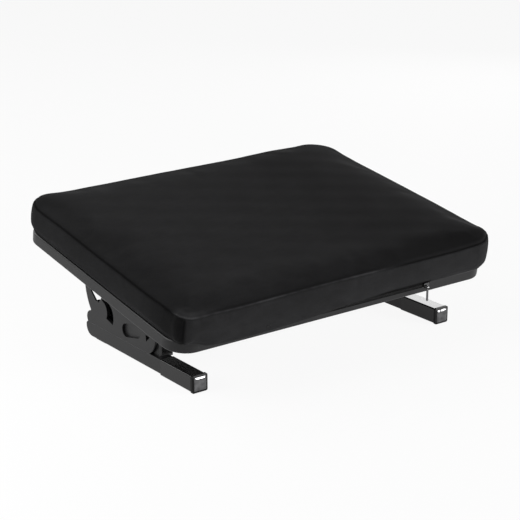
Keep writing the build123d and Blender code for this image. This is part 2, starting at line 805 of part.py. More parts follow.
# Slider: a front plate with side walls over the chain, and two lugs with the bail bar
slider_length = pull_width + 2 * (slider_gap + lug_wall) + slider_nose
slider_width = chain_width + 2 * (slider_gap + slider_cheek)
slider_x = stop_place - stop_length / 2 - slider_length / 2 - slider_gap
slider_floor = tape_wall + slider_gap
slider_roof = chain_wall + slider_gap
slider_front = slider_roof + slider_wall
eye_hole = bail_radius + running_fit
bail_reach = eye_hole + pull_eye_wall + bail_room
bail_z = slider_front + bail_reach
lug_offset = pull_width / 2 + slider_gap + lug_wall / 2
with BuildPart() as zip_slider:
    with BuildSketch(zip_frame.offset(slider_floor)):
        with Locations((slider_x, 0)):
            RectangleRounded(slider_length, slider_width, slider_corner_radius)
    extrude(amount=slider_front - slider_floor)
    with BuildSketch(zip_frame.offset(slider_floor)):
        with Locations((slider_x, 0)):
            Rectangle(slider_length, chain_width + 2 * slider_gap)
    extrude(amount=slider_roof - slider_floor, mode=Mode.SUBTRACT)
    with BuildSketch(zip_frame.offset(slider_front)):
        with Locations((slider_x - lug_offset, -bail_drop), (slider_x + lug_offset, -bail_drop)):
            Rectangle(lug_wall, lug_width)
    extrude(amount=bail_reach + lug_head)
    bail_frame = Plane(
        origin=zip_frame.from_local_coords((slider_x - lug_offset, -bail_drop, bail_z)),
        x_dir=(0, 1, 0),
        z_dir=(1, 0, 0),
    )
    with BuildSketch(bail_frame):
        Circle(bail_radius)
    extrude(amount=2 * lug_offset)
write(zip_slider, "zip_slider")

# Pull tab: an eye round the bail bar and a flat tab that hangs straight down
pull_frame = Plane(
    origin=zip_frame.from_local_coords((slider_x - pull_width / 2, -bail_drop, bail_z)),
    x_dir=(0, 1, 0),
    z_dir=(1, 0, 0),
)
with BuildPart() as zip_pull:
    with BuildSketch(pull_frame):
        Circle(eye_hole + pull_eye_wall)
        with Locations((0, -eye_hole - pull_length / 2)):
            Rectangle(pull_wall, pull_length)
        Circle(eye_hole, mode=Mode.SUBTRACT)
    extrude(amount=pull_width)
    tab_end = zip_pull.faces().sort_by(Axis.Z)[0]
    fillet(tab_end.edges().filter_by(Axis.Y), pull_corner_radius)
write(zip_pull, "zip_pull")
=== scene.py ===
# %% [markdown]
# # A tilting office footrest
# The object is a thick velvet cushion on a shallow moulded tray. The tray rocks on a cross shaft between
# two moulded legs, and a square steel tube with a glossy plug runs forward from each leg. The rigid pieces
# come in as a fixed frame, already at their real size and place in metres. This lesson dresses them with
# materials and makes the pieces that rigid solids can't show: the sewn cushion and the coils of its zip.

# %% Load the frame
import math

import bpy
import numpy as np
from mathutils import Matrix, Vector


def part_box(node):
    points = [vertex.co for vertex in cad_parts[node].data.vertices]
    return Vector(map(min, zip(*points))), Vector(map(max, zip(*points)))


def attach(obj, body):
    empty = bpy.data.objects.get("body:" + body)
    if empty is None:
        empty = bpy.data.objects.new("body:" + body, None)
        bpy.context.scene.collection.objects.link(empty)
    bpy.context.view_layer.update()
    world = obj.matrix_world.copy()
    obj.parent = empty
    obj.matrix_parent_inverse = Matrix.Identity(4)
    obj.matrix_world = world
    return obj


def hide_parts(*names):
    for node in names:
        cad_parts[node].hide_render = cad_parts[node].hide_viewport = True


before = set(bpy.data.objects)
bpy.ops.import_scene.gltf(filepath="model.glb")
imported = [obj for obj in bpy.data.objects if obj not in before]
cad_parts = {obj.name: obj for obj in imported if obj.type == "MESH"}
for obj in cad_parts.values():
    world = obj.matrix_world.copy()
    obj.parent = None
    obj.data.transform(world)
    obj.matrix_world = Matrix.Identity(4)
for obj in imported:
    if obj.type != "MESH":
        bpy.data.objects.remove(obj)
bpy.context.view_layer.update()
MM = 0.001

# %% [markdown]
# ## Deck coordinates
# The tray is tilted, so its pieces are awkward to describe in upright coordinates. It helps to keep a
# second set that is tilted with it: how far across, how far uphill from the tray's front edge, and how high
# off its underside. One small function turns those into places in the room, for whole arrays at a time.

# %% Deck coordinates
TILT = math.radians(9.5)
FRONT_EDGE = np.array([0.0, -150.6, 58.3])
ACROSS = np.array([1.0, 0.0, 0.0])
UPHILL = np.array([0.0, math.cos(TILT), math.sin(TILT)])
OUTWARD = np.array([0.0, -math.sin(TILT), math.cos(TILT)])
TRAY_WIDTH = 450.0
TRAY_DEPTH = 325.0


def in_room(across, uphill, height):
    """Place in metres: the front edge plus each deck distance, in millimetres, along its own direction."""
    across, uphill, height = np.broadcast_arrays(across, uphill, height)
    place = FRONT_EDGE + across[..., None] * ACROSS + uphill[..., None] * UPHILL + height[..., None] * OUTWARD
    return place * MM


def on_deck(place):
    """The other way round: deck distances in millimetres of places in metres."""
    from_edge = place / MM - FRONT_EDGE
    return from_edge @ ACROSS, from_edge @ UPHILL, from_edge @ OUTWARD


print("rear edge at", in_room(np.array(0.0), np.array(TRAY_DEPTH), np.array(0.0)).round(4))

# %% [markdown]
# ## Camera
# The photograph was taken from the front left corner, a little above the seat, from about two metres away.
# A longish lens keeps the edges nearly parallel. The camera's place and lens were worked out from the
# straight edges of the tray, the tubes and the cushion, so no shift is needed.

# %% Camera
FRAME_PIXELS = 520
FOCAL_PIXELS = 1507.4
SENSOR_MM = 36.0
CAMERA_PLACE = (-1.0281, -1.3676, 0.6395)
CAMERA_DIP = 18.02
CAMERA_TURN = -36.86
camera_data = bpy.data.cameras.new("camera")
camera_data.sensor_width = SENSOR_MM
camera_data.lens = FOCAL_PIXELS / FRAME_PIXELS * SENSOR_MM
camera = bpy.data.objects.new("camera", camera_data)
camera.location = CAMERA_PLACE
camera.rotation_euler = (math.radians(90 - CAMERA_DIP), 0, math.radians(CAMERA_TURN))
bpy.context.scene.collection.objects.link(camera)
bpy.context.scene.camera = camera
print("lens", round(camera_data.lens, 2), "mm")

# %% [markdown]
# ## Helpers for materials
# A colour is written as the hex value that a picture editor shows and turned into the linear numbers that a
# shader works in. One function adds any shader node with its settings, its numbers and its links. A
# pattern's scale comes from a real size: a noise of scale 1000 / d has features about d millimetres wide.

# %% Helpers for materials


def linear(code):
    """Linear colour of an sRGB hex code, with the two-part sRGB curve, and full alpha."""
    parts = [int(code[i : i + 2], 16) / 255 for i in (1, 3, 5)]
    return tuple(p / 12.92 if p <= 0.04045 else ((p + 0.055) / 1.055) ** 2.4 for p in parts) + (1.0,)


def add(tree, kind, links=None, values=None, **settings):
    """Adds one node: settings are its properties, values its socket numbers, links its incoming sockets."""
    node = tree.nodes.new(kind)
    for key, value in settings.items():
        setattr(node, key, value)
    for key, value in (values or {}).items():
        node.inputs[key].default_value = value
    for key, socket in (links or {}).items():
        tree.links.new(socket, node.inputs[key])
    return node


def per_mm(size):
    """Noise scale, per metre, for features of a size in millimetres."""
    return 1.0 / (size * MM)


def new_finish(name, **values):
    """A material with one Principled shader, whose sockets get the plain values, and Object coordinates."""
    material = bpy.data.materials.new(name)
    material.use_nodes = True
    tree = material.node_tree
    shader = tree.nodes["Principled BSDF"]
    for key, value in values.items():
        shader.inputs[key.replace("_", " ")].default_value = value
    place = add(tree, "ShaderNodeTexCoord").outputs["Object"]
    return material, tree, shader, place


def wear_in(node_name, material):
    """Gives a carried-over solid one material in place of what it came with."""
    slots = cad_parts[node_name].data.materials
    slots.clear()
    slots.append(material)


def inside_box(tree, place, middle, reach):
    """Mask that is 1 inside a box and 0 outside, and the same on both sides of the origin. The largest of the
    distances from the box's middle, each over its reach, makes it fall off between 0.94 and 1."""
    mirrored = add(tree, "ShaderNodeVectorMath", {0: place}, operation="ABSOLUTE").outputs["Vector"]
    offset = add(tree, "ShaderNodeVectorMath", {0: mirrored}, {1: middle}, operation="SUBTRACT")
    share = add(tree, "ShaderNodeVectorMath", {0: offset.outputs["Vector"]}, {1: reach}, operation="DIVIDE")
    share = add(tree, "ShaderNodeVectorMath", {0: share.outputs["Vector"]}, operation="ABSOLUTE")
    axis = add(tree, "ShaderNodeSeparateXYZ", {"Vector": share.outputs["Vector"]}).outputs
    most = add(tree, "ShaderNodeMath", {0: axis["X"], 1: axis["Y"]}, operation="MAXIMUM")
    most = add(tree, "ShaderNodeMath", {0: most.outputs["Value"], 1: axis["Z"]}, operation="MAXIMUM")
    fall = {"From Min": 0.94, "From Max": 1.0, "To Min": 1.0, "To Max": 0.0}
    return add(tree, "ShaderNodeMapRange", {"Value": most.outputs["Value"]}, fall).outputs["Result"]


print("helpers ready")

# %% [markdown]
# ## Moulded plastic
# The tray and legs are injection-moulded ABS, black with a fine spark-eroded texture that the mould leaves
# on it. To the eye that is a dark grey with a wide soft sheen. Two noises make it: a grain of about a
# millimetre, drawn coarser than the real half millimetre so that it shows, and slow clouds that vary the
# gloss as handling does. Inside the hollow posts at the front of the legs the mould is rougher, and the
# plastic is painted dead black as painted shade for the shadow that fills them.

# %% Moulded plastic
POST_MIDDLE = (0.160, 0.027, 0.045)
POST_REACH = (0.0187, 0.029, 0.0265)
moulded, tree, shader, place = new_finish("textured_abs", IOR=1.5, Specular_IOR_Level=0.32)
grain = add(tree, "ShaderNodeTexNoise", {"Vector": place}, {"Scale": per_mm(1.2), "Detail": 3.0})
cloud = add(tree, "ShaderNodeTexNoise", {"Vector": place}, {"Scale": per_mm(45), "Detail": 2.0})
tint = add(tree, "ShaderNodeMix", {"Factor": cloud.outputs["Fac"]}, data_type="RGBA")
tint.inputs["A"].default_value = linear("#0c0c0d")
tint.inputs["B"].default_value = linear("#131314")
gloss = add(tree, "ShaderNodeMapRange", {"Value": cloud.outputs["Fac"]}, {"To Min": 0.36, "To Max": 0.48})
# Painted shade: inside each hollow post the colour goes near black.
post_painted_shade = inside_box(tree, place, POST_MIDDLE, POST_REACH)
darker = {"Factor": post_painted_shade, "A": tint.outputs["Result"]}
tint = add(tree, "ShaderNodeMix", darker, {"B": linear("#020202")}, data_type="RGBA")
rougher = {"Factor": post_painted_shade, "A": gloss.outputs["Result"]}
gloss = add(tree, "ShaderNodeMix", rougher, {"B": 1.0}, data_type="FLOAT")
bumps = {"Strength": 0.18, "Distance": 0.15 * MM}
relief = add(tree, "ShaderNodeBump", {"Height": grain.outputs["Fac"]}, bumps)
tree.links.new(tint.outputs["Result"], shader.inputs["Base Color"])
tree.links.new(gloss.outputs["Result"], shader.inputs["Roughness"])
tree.links.new(relief.outputs["Normal"], shader.inputs["Normal"])
for name in ("tray", "left_leg", "right_leg"):
    wear_in(name, moulded)
print("moulded plastic on the tray and both legs")

# %% [markdown]
# ## Enamelled steel
# The front tubes are mild steel with a baked black enamel, which is smooth with a faint orange-peel ripple.
# The tilt brackets have the same enamel, hidden under the tray.

# %% Enamelled steel
enamel, tree, shader, place = new_finish("black_enamel", IOR=1.5, Roughness=0.14, Specular_IOR_Level=0.36)
peel = add(tree, "ShaderNodeTexNoise", {"Vector": place}, {"Scale": per_mm(3.5), "Detail": 1.0})
dust = add(tree, "ShaderNodeTexNoise", {"Vector": place}, {"Scale": per_mm(30), "Detail": 4.0})
tint = add(tree, "ShaderNodeMix", {"Factor": dust.outputs["Fac"]}, data_type="RGBA")
tint.inputs["A"].default_value = linear("#050505")
tint.inputs["B"].default_value = linear("#0b0b0b")
bumps = {"Strength": 0.06, "Distance": 0.3 * MM}
relief = add(tree, "ShaderNodeBump", {"Height": peel.outputs["Fac"]}, bumps)
tree.links.new(tint.outputs["Result"], shader.inputs["Base Color"])
tree.links.new(relief.outputs["Normal"], shader.inputs["Normal"])
for name in ("left_tube", "right_tube", "left_bracket", "right_bracket"):
    wear_in(name, enamel)
print("enamel on the tubes and brackets")

# %% [markdown]
# ## Glossy plugs
# The plugs are black nylon with a thin metallised film on their faceted face, which catches the lights as
# bright shapes. Their rim stays black: it is found from the distance to the plug's middle, with a mask that
# serves both plugs.

# %% Glossy plugs
PLUG_MIDDLE = np.mean(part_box("right_tube_plug"), axis=0)
PLUG_FACE = (7.9 * MM, 1.0, 7.9 * MM)
nylon, tree, shader, place = new_finish("metallised_nylon", IOR=1.53, Specular_IOR_Level=0.15)
swirl = add(tree, "ShaderNodeTexNoise", {"Vector": place}, {"Scale": per_mm(7), "Detail": 1.0})
tint = add(tree, "ShaderNodeMix", {"Factor": swirl.outputs["Fac"]}, data_type="RGBA")
tint.inputs["A"].default_value = linear("#333334")
tint.inputs["B"].default_value = linear("#868687")
face = inside_box(tree, place, tuple(np.abs(PLUG_MIDDLE)), PLUG_FACE)
filmed = {"Factor": face, "B": tint.outputs["Result"]}
tint = add(tree, "ShaderNodeMix", filmed, {"A": linear("#060606")}, data_type="RGBA")
gloss = add(tree, "ShaderNodeMapRange", {"Value": face}, {"To Min": 0.5, "To Max": 0.16})
bumps = {"Strength": 0.6, "Distance": 1.0 * MM}
ripple = add(tree, "ShaderNodeBump", {"Height": swirl.outputs["Fac"]}, bumps)
tree.links.new(tint.outputs["Result"], shader.inputs["Base Color"])
tree.links.new(face, shader.inputs["Metallic"])
tree.links.new(gloss.outputs["Result"], shader.inputs["Roughness"])
tree.links.new(ripple.outputs["Normal"], shader.inputs["Normal"])
for name in ("left_tube_plug", "right_tube_plug"):
    wear_in(name, nylon)
print("metallised nylon on both plugs")

# %% [markdown]
# ## Bright steel
# The shaft, rod, rings and screws are zinc-plated steel: a metal with fine scratches along the shaft. A
# noise that is squeezed in one direction before it is drawn comes out stretched in that direction.

# %% Bright steel
zinc, tree, shader, place = new_finish("zinc_plated_steel", Metallic=1.0)
turned = add(tree, "ShaderNodeMapping", {"Vector": place}, {"Scale": (0.05, 1.0, 1.0)})
fine = {"Scale": per_mm(0.8), "Detail": 2.0}
scratch = add(tree, "ShaderNodeTexNoise", {"Vector": turned.outputs["Vector"]}, fine)
tint = add(tree, "ShaderNodeMix", {"Factor": scratch.outputs["Fac"]}, data_type="RGBA")
tint.inputs["A"].default_value = linear("#a9aaac")
tint.inputs["B"].default_value = linear("#cfd0d1")
gloss = add(tree, "ShaderNodeMapRange", {"Value": scratch.outputs["Fac"]}, {"To Min": 0.25, "To Max": 0.45})
tree.links.new(tint.outputs["Result"], shader.inputs["Base Color"])
tree.links.new(gloss.outputs["Result"], shader.inputs["Roughness"])
for name in ("pivot_shaft", "tie_rod", "shaft_rings", "tube_screws", "bracket_screws"):
    wear_in(name, zinc)
print("zinc on the shaft, rod, rings and screws")

# %% [markdown]
# ## Rubber
# Feet, bumpers and sleeves are matte black rubber with a chalky bloom.

# %% Rubber
rubber, tree, shader, place = new_finish("black_rubber", IOR=1.52, Roughness=0.85)
bloom = add(tree, "ShaderNodeTexNoise", {"Vector": place}, {"Scale": per_mm(2.5), "Detail": 5.0})
tint = add(tree, "ShaderNodeMix", {"Factor": bloom.outputs["Fac"]}, data_type="RGBA")
tint.inputs["A"].default_value = linear("#0e0e0e")
tint.inputs["B"].default_value = linear("#1c1b1b")
tree.links.new(tint.outputs["Result"], shader.inputs["Base Color"])
for name in ("front_feet", "rear_feet", "stop_sleeves", "front_bumpers"):
    wear_in(name, rubber)
print("rubber on the feet, bumpers and sleeves")

# %% [markdown]
# ## Bushes and tapes
# The bushes are natural acetal, nearly white. Hook and loop tape is a dense nylon pile, drawn as a fine
# cell pattern. Both are hidden until the footrest is taken apart.

# %% Bushes and tapes
acetal, tree, shader, place = new_finish("natural_acetal", IOR=1.48, Roughness=0.4)
haze = add(tree, "ShaderNodeTexNoise", {"Vector": place}, {"Scale": per_mm(6), "Detail": 2.0})
tint = add(tree, "ShaderNodeMix", {"Factor": haze.outputs["Fac"]}, data_type="RGBA")
tint.inputs["A"].default_value = linear("#e3e0d6")
tint.inputs["B"].default_value = linear("#efede6")
tree.links.new(tint.outputs["Result"], shader.inputs["Base Color"])
for name in ("left_bush", "right_bush"):
    wear_in(name, acetal)

pile_tape, tree, shader, place = new_finish("nylon_pile_tape", IOR=1.53, Roughness=0.9)
cells = add(tree, "ShaderNodeTexVoronoi", {"Vector": place}, {"Scale": per_mm(1.5)})
tint = add(tree, "ShaderNodeMix", {"Factor": cells.outputs["Distance"]}, data_type="RGBA")
tint.inputs["A"].default_value = linear("#101010")
tint.inputs["B"].default_value = linear("#2a2a2a")
bumps = {"Strength": 0.6, "Distance": 0.5 * MM}
relief = add(tree, "ShaderNodeBump", {"Height": cells.outputs["Distance"]}, bumps)
tree.links.new(tint.outputs["Result"], shader.inputs["Base Color"])
tree.links.new(relief.outputs["Normal"], shader.inputs["Normal"])
for name in ("hook_strips", "loop_strips"):
    wear_in(name, pile_tape)
print("acetal on the bushes, pile on the hook and loop strips")

# %% [markdown]
# ## Zip finishes
# The tapes are a dense polyester twill, the coil and its stops are black nylon, and the slider and pull are
# die-cast zinc with a dark nickel plate. The twill is drawn with a leaning wave. At scale 1 such a wave
# turns 20 radians in a metre, so at scale 100 its bands are about three millimetres apart, coarser than the
# real thread.

# %% Zip finishes
twill, tree, shader, place = new_finish("polyester_twill_tape", Roughness=0.95, Specular_IOR_Level=0.1)
lean = add(tree, "ShaderNodeMapping", {"Vector": place}, {"Rotation": (0.0, math.radians(35), 0.0)})
bands = {"Scale": 100.0, "Distortion": 0.3}
ribs = add(tree, "ShaderNodeTexWave", {"Vector": lean.outputs["Vector"]}, bands)
tint = add(tree, "ShaderNodeMix", {"Factor": ribs.outputs["Fac"]}, data_type="RGBA")
tint.inputs["A"].default_value = linear("#070707")
tint.inputs["B"].default_value = linear("#101010")
tree.links.new(tint.outputs["Result"], shader.inputs["Base Color"])
wear_in("zip_tapes", twill)

coil_nylon, tree, shader, place = new_finish("black_nylon_coil", Roughness=0.5, Specular_IOR_Level=0.2)
shade = add(tree, "ShaderNodeTexNoise", {"Vector": place}, {"Scale": per_mm(2), "Detail": 2.0})
tint = add(tree, "ShaderNodeMix", {"Factor": shade.outputs["Fac"]}, data_type="RGBA")
tint.inputs["A"].default_value = linear("#080808")
tint.inputs["B"].default_value = linear("#121212")
tree.links.new(tint.outputs["Result"], shader.inputs["Base Color"])
for name in ("zip_chain", "zip_stops"):
    wear_in(name, coil_nylon)

nickel, tree, shader, place = new_finish("nickel_plated_zinc", Metallic=1.0)
tumble = add(tree, "ShaderNodeTexNoise", {"Vector": place}, {"Scale": per_mm(1.2), "Detail": 3.0})
tint = add(tree, "ShaderNodeMix", {"Factor": tumble.outputs["Fac"]}, data_type="RGBA")
tint.inputs["A"].default_value = linear("#4a4a4b")
tint.inputs["B"].default_value = linear("#6b6b6b")
gloss = add(tree, "ShaderNodeMapRange", {"Value": tumble.outputs["Fac"]}, {"To Min": 0.15, "To Max": 0.32})
tree.links.new(tint.outputs["Result"], shader.inputs["Base Color"])
tree.links.new(gloss.outputs["Result"], shader.inputs["Roughness"])
for name in ("zip_slider", "zip_pull"):
    wear_in(name, nickel)
print("zip finishes set")

# %% [markdown]
# ## Velvet
# The cover is a short-pile polyester velvet. Its fibres stand up, so it is darkest where it is seen
# straight on and pale where the eye grazes the pile; the Principled shader's sheen gives that. Hands and
# folding brush the pile one way or another, which leaves broad cloudy patches, and the pile itself is a
# fine speckle. The real pile is about a third of a millimetre across, and it is drawn at nearly one so that
# it shows. Light and shade are also painted into the colour: painted shade along the stitched lines, the
# creases and the corner, painted highlights on the folded edge and the flap, the front painted paler and
# the top painted darker towards the right. The mesh brings those places along as a number at each point,
# painted_light_tone, which multiplies the colour.

# %% Velvet
velvet, tree, shader, place = new_finish("polyester_velvet", IOR=1.45, Roughness=0.95)
shader.inputs["Specular IOR Level"].default_value = 0.05
shader.inputs["Sheen Weight"].default_value = 0.035
shader.inputs["Sheen Roughness"].default_value = 0.45
shader.inputs["Sheen Tint"].default_value = linear("#d0d0d2")
broad = {"Scale": per_mm(80), "Detail": 3.0, "Distortion": 0.3}
brushed = add(tree, "ShaderNodeTexNoise", {"Vector": place}, broad)
pile = add(tree, "ShaderNodeTexNoise", {"Vector": place}, {"Scale": per_mm(0.9), "Detail": 2.0})
combing = add(tree, "ShaderNodeMapping", {"Vector": place}, {"Scale": (0.55, 1.0, 1.0)})
narrow = {"Scale": per_mm(12), "Detail": 3.0, "Distortion": 0.6}
stroke = add(tree, "ShaderNodeTexNoise", {"Vector": combing.outputs["Vector"]}, narrow)
both = {0: brushed.outputs["Fac"], 1: stroke.outputs["Fac"]}
handled = add(tree, "ShaderNodeMath", both, operation="MULTIPLY")
levels = {"From Min": 0.12, "From Max": 0.4, "To Min": 0.12, "To Max": 0.3}
patches = add(tree, "ShaderNodeMapRange", {"Value": handled.outputs["Value"]}, levels)
grains = {0: pile.outputs["Fac"], 2: patches.outputs["Result"]}
speckle = add(tree, "ShaderNodeMath", grains, {1: 0.4}, operation="MULTIPLY_ADD")
tint = add(tree, "ShaderNodeMix", {"Factor": speckle.outputs["Value"]}, data_type="RGBA")
tint.inputs["A"].default_value = linear("#0d0d0d")
tint.inputs["B"].default_value = linear("#282829")
# Painted light and shade: this number from the mesh multiplies the velvet's colour.
painted_tone = add(tree, "ShaderNodeAttribute", attribute_name="painted_light_tone")
both = {0: tint.outputs["Result"], 1: painted_tone.outputs["Vector"]}
toned = add(tree, "ShaderNodeVectorMath", both, operation="MULTIPLY")
relief = add(tree, "ShaderNodeBump", {"Height": pile.outputs["Fac"]}, {"Strength": 0.3, "Distance": 0.3 * MM})
tree.links.new(toned.outputs["Vector"], shader.inputs["Base Color"])
tree.links.new(relief.outputs["Normal"], shader.inputs["Normal"])
print("velvet ready")

# %% [markdown]
# ## Outline of the cushion
# The cushion is a box: a top panel, a band round the sides and a bottom panel. A flat grid on a unit square
# makes each panel. To round the corners, the square of side R in each corner is bent into a quarter disc by
# the usual square-to-disc formula, which leaves the rest of the grid straight and keeps every cell a quad.
# The cover is pulled tight over the front left corner, so that one is much sharper than the others, and the
# whole cushion has slipped a little over a millimetre to the left.

# %% Outline of the cushion
CELLS_ACROSS = 104
CELLS_UPHILL = 76
CORNER_RADIUS = 36.0
SHARP_RADIUS = 13.0
FULLER = 1.25
SLIP = 1.3


def spread(count):
    """Numbers from -1 to 1, set closer together near both ends: a sine over its own end value."""
    even = np.linspace(-1.0, 1.0, count + 1)
    bend = 0.85 * np.pi / 2
    return np.sin(even * bend) / np.sin(bend)


def corner_radius(across, uphill, radius, sharp):
    """The radius of the corner that each point belongs to: the near left one has its own, and the far right
    one is fuller than the other two."""
    fuller = np.where((across > 0) & (uphill > 0), FULLER * radius, radius)
    return np.where((across < 0) & (uphill < 0), sharp, fuller)


def panel(half_width, near, far, radius, sharp):
    """Grid of (across, uphill) over a rounded rectangle. In each corner square, with p and q from 0 to 1,
    p becomes p * sqrt(1 - q * q / 2) and q becomes q * sqrt(1 - p * p / 2), which is a quarter disc."""
    half_depth = (far - near) / 2
    across, uphill = np.meshgrid(spread(CELLS_ACROSS) * half_width, spread(CELLS_UPHILL) * half_depth)
    round_to = corner_radius(across, uphill, radius, sharp)
    p = np.clip((np.abs(across) - half_width + round_to) / round_to, 0, 1)
    q = np.clip((np.abs(uphill) - half_depth + round_to) / round_to, 0, 1)
    corner = (p > 0) & (q > 0)
    bent_p = half_width - round_to + round_to * p * np.sqrt(1 - q * q / 2)
    bent_q = half_depth - round_to + round_to * q * np.sqrt(1 - p * p / 2)
    across = np.where(corner, np.sign(across) * bent_p, across)
    uphill = np.where(corner, np.sign(uphill) * bent_q, uphill)
    return across, uphill + (near + far) / 2


def edge_depth(across, uphill, half_width, near, far, radius, sharp):
    """Distance in from the edge of a rounded rectangle: the usual signed distance, turned round."""
    from_middle = uphill - (near + far) / 2
    round_to = corner_radius(across, from_middle, radius, sharp)
    x = np.abs(across) - half_width + round_to
    y = np.abs(from_middle) - (far - near) / 2 + round_to
    return round_to - np.hypot(np.maximum(x, 0), np.maximum(y, 0)) - np.minimum(np.maximum(x, y), 0)


def rim(grid):
    """Values round the edge of a grid, once round, starting at its near left corner."""
    return np.concatenate([grid[0, :-1], grid[:-1, -1], grid[-1, :0:-1], grid[:0:-1, 0]])


SEAM = dict(half_width=TRAY_WIDTH / 2 + 3.6, near=-13.0, far=TRAY_DEPTH + 4.0)
SEAM.update(radius=CORNER_RADIUS, sharp=SHARP_RADIUS)
TUCK = dict(half_width=TRAY_WIDTH / 2 - 6.0, near=6.0, far=TRAY_DEPTH - 6.0, radius=30.0, sharp=30.0)
top_across, top_uphill = panel(**SEAM)
top_across = top_across - SLIP
foot_across, foot_uphill = panel(**TUCK)
print("panel grid", top_across.shape)

# %% [markdown]
# ## Heights of the top
# The top panel rolls up out of the seam in a few millimetres and then rises slowly, as foam under a cover
# does: two exponentials in the distance from the edge. The seam isn't level. It lifts in the middle of the
# front, where the foam pushes it up, and along the right side. At the rear it sinks a little on the left
# and swells on the right. Along the front and the left it is drawn down a few millimetres below the top's
# own edge.

# %% Heights of the top
SEAM_HEIGHT = 52.0
FRONT_LIFT = 4.0
RIGHT_LIFT = 4.0
REAR_SINK = 2.3
REAR_SWELL = 2.5
FRONT_SAG = 4.4
LEFT_SAG = 3.1
ROLL = 1.6
ROLL_REACH = 2.2
CROWN = 3.4
CROWN_REACH = 38.0
SIDE_REACH = 215.0
ARCH_FADES = (-10.0, 60.0)
SLOPE_FADES = (60.0, 290.0)
REAR_RISES = (130.0, 310.0)
SINK_REACH = 190.0
SWELL = (140.0, 55.0)
FRONT_FADES = (-13.0, 12.0)
LEFT_FADES = (-229.0, -160.0)
LEFT_ENDS = (150.0, 255.0)


def smooth_step(value, low, high):
    """Rises from 0 to 1 between low and high, level at both ends: 3 t squared minus 2 t cubed."""
    t = np.clip((value - low) / (high - low), 0, 1)
    return t * t * (3 - 2 * t)


def hump(value, middle, width):
    """A bell of height 1: the exponential of minus the squared distance from its middle, in widths."""
    return np.exp(-(((value - middle) / width) ** 2))


def lift(across, uphill):
    """How far the foam lifts the seam: an arch along the front, a slope to the right and a wave at the rear.
    The seam itself is drawn down along the front and the left side, and the top rolls over towards it."""
    arch = FRONT_LIFT * (1 - np.clip(across / SIDE_REACH, -1, 1) ** 2)
    arch *= 1 - smooth_step(uphill, *ARCH_FADES)
    slope = RIGHT_LIFT * smooth_step(across, 20.0, SIDE_REACH) * (1 - smooth_step(uphill, *SLOPE_FADES))
    rear = REAR_SINK * np.minimum(across, 0) / SINK_REACH + REAR_SWELL * hump(across, *SWELL)
    roll = rear * smooth_step(uphill, *REAR_RISES)
    front = FRONT_SAG * (1 - smooth_step(uphill, *FRONT_FADES))
    front *= 1 - 0.5 * smooth_step(np.abs(across), 150.0, SIDE_REACH)
    left = LEFT_SAG * (1 - smooth_step(across, *LEFT_FADES)) * (1 - smooth_step(uphill, *LEFT_ENDS))
    left *= 0.3 + 0.7 * smooth_step(uphill, -13.0, 60.0)
    return arch + slope + roll - np.maximum(front, left)


depth_in = edge_depth(top_across + SLIP, top_uphill, **SEAM)
roll_up = ROLL * (1 - np.exp(-depth_in / ROLL_REACH))
crown = CROWN * (1 - np.exp(-depth_in / CROWN_REACH))
top_height = SEAM_HEIGHT + roll_up + crown + lift(top_across, top_uphill)
print("top from", top_height.min().round(2), "to", top_height.max().round(2), "mm above the tray's underside")

# %% [markdown]
# ## Side band
# The band bulges out below the seam, comes straight down, rolls under and tucks in behind the tray's rim.
# Its section is a list of points: how far out from the seam, and how high off the tray's underside. At each
# point of the seam the way out is square to the line through its two neighbours. Beside the front left
# corner the cover has slipped, so that its lower roll hangs over the tray's lip.

# %% Side band
DROOP = 8.0
FRONT_FACE = (-4.0, 6.0)
HANG_STARTS = (-214.0, -186.0)
HANG_ENDS = (-130.0, 62.0)
LOW_DOWN = (6.0, 32.0)
BAND = np.array(
    [
        (0.8, 51.3),
        (1.5, 50.3),
        (2.1, 48.7),
        (2.6, 46.4),
        (3.0, 43.4),
        (3.3, 40.0),
        (3.5, 36.4),
        (3.5, 32.8),
        (3.4, 29.4),
        (3.2, 26.4),
        (2.8, 23.8),
        (2.1, 21.7),
        (0.9, 20.2),
        (-1.0, 19.1),
        (-3.4, 18.4),
    ]
)
seam_across, seam_uphill = rim(top_across), rim(top_uphill)
seam_line = np.stack([seam_across, seam_uphill])
step = np.roll(seam_line, -1, 1) - np.roll(seam_line, 1, 1)
step /= np.hypot(*step)
out_across, out_uphill = step[1], -step[0]

band_across = seam_across + BAND[:, :1] * out_across
band_uphill = seam_uphill + BAND[:, :1] * out_uphill
band_height = np.broadcast_to(BAND[:, 1:], band_across.shape).copy()
up_band = smooth_step(band_height, 20.0, SEAM_HEIGHT)
band_height += up_band * lift(band_across, band_uphill)
at_front = smooth_step(-band_uphill, *FRONT_FACE)
hanging = smooth_step(band_across, *HANG_STARTS) * (1 - smooth_step(band_across, *HANG_ENDS))
low_down = smooth_step(SEAM_HEIGHT - band_height, *LOW_DOWN)
band_height -= DROOP * at_front * hanging * low_down
print("band", band_across.shape, "lowest", band_height.min().round(2))

# %% [markdown]
# ## Tuck under the overhang
# Two last rows go in under the overhang and over the tray's rim, and meet the bottom panel there. They are
# the edges of two smaller rounded rectangles.

# %% Tuck under the overhang
HANG_ROW = dict(half_width=TRAY_WIDTH / 2 + 0.6, near=-2.5, far=TRAY_DEPTH + 0.6, radius=30.0, sharp=26.0)
INNER_ROW = dict(half_width=TRAY_WIDTH / 2 - 5.0, near=5.0, far=TRAY_DEPTH - 5.0, radius=31.0, sharp=31.0)
ROW_HEIGHTS = [[16.6], [15.1]]
hang_across, hang_uphill = (rim(g) for g in panel(**HANG_ROW))
inner_across, inner_uphill = (rim(g) for g in panel(**INNER_ROW))
band_across = np.vstack([band_across, hang_across, inner_across])
band_uphill = np.vstack([band_uphill, hang_uphill, inner_uphill])
band_height = np.vstack([band_height, np.repeat(ROW_HEIGHTS, seam_across.size, axis=1)])
print("band with its tucked rows", band_across.shape, "lowest", band_height.min().round(2))

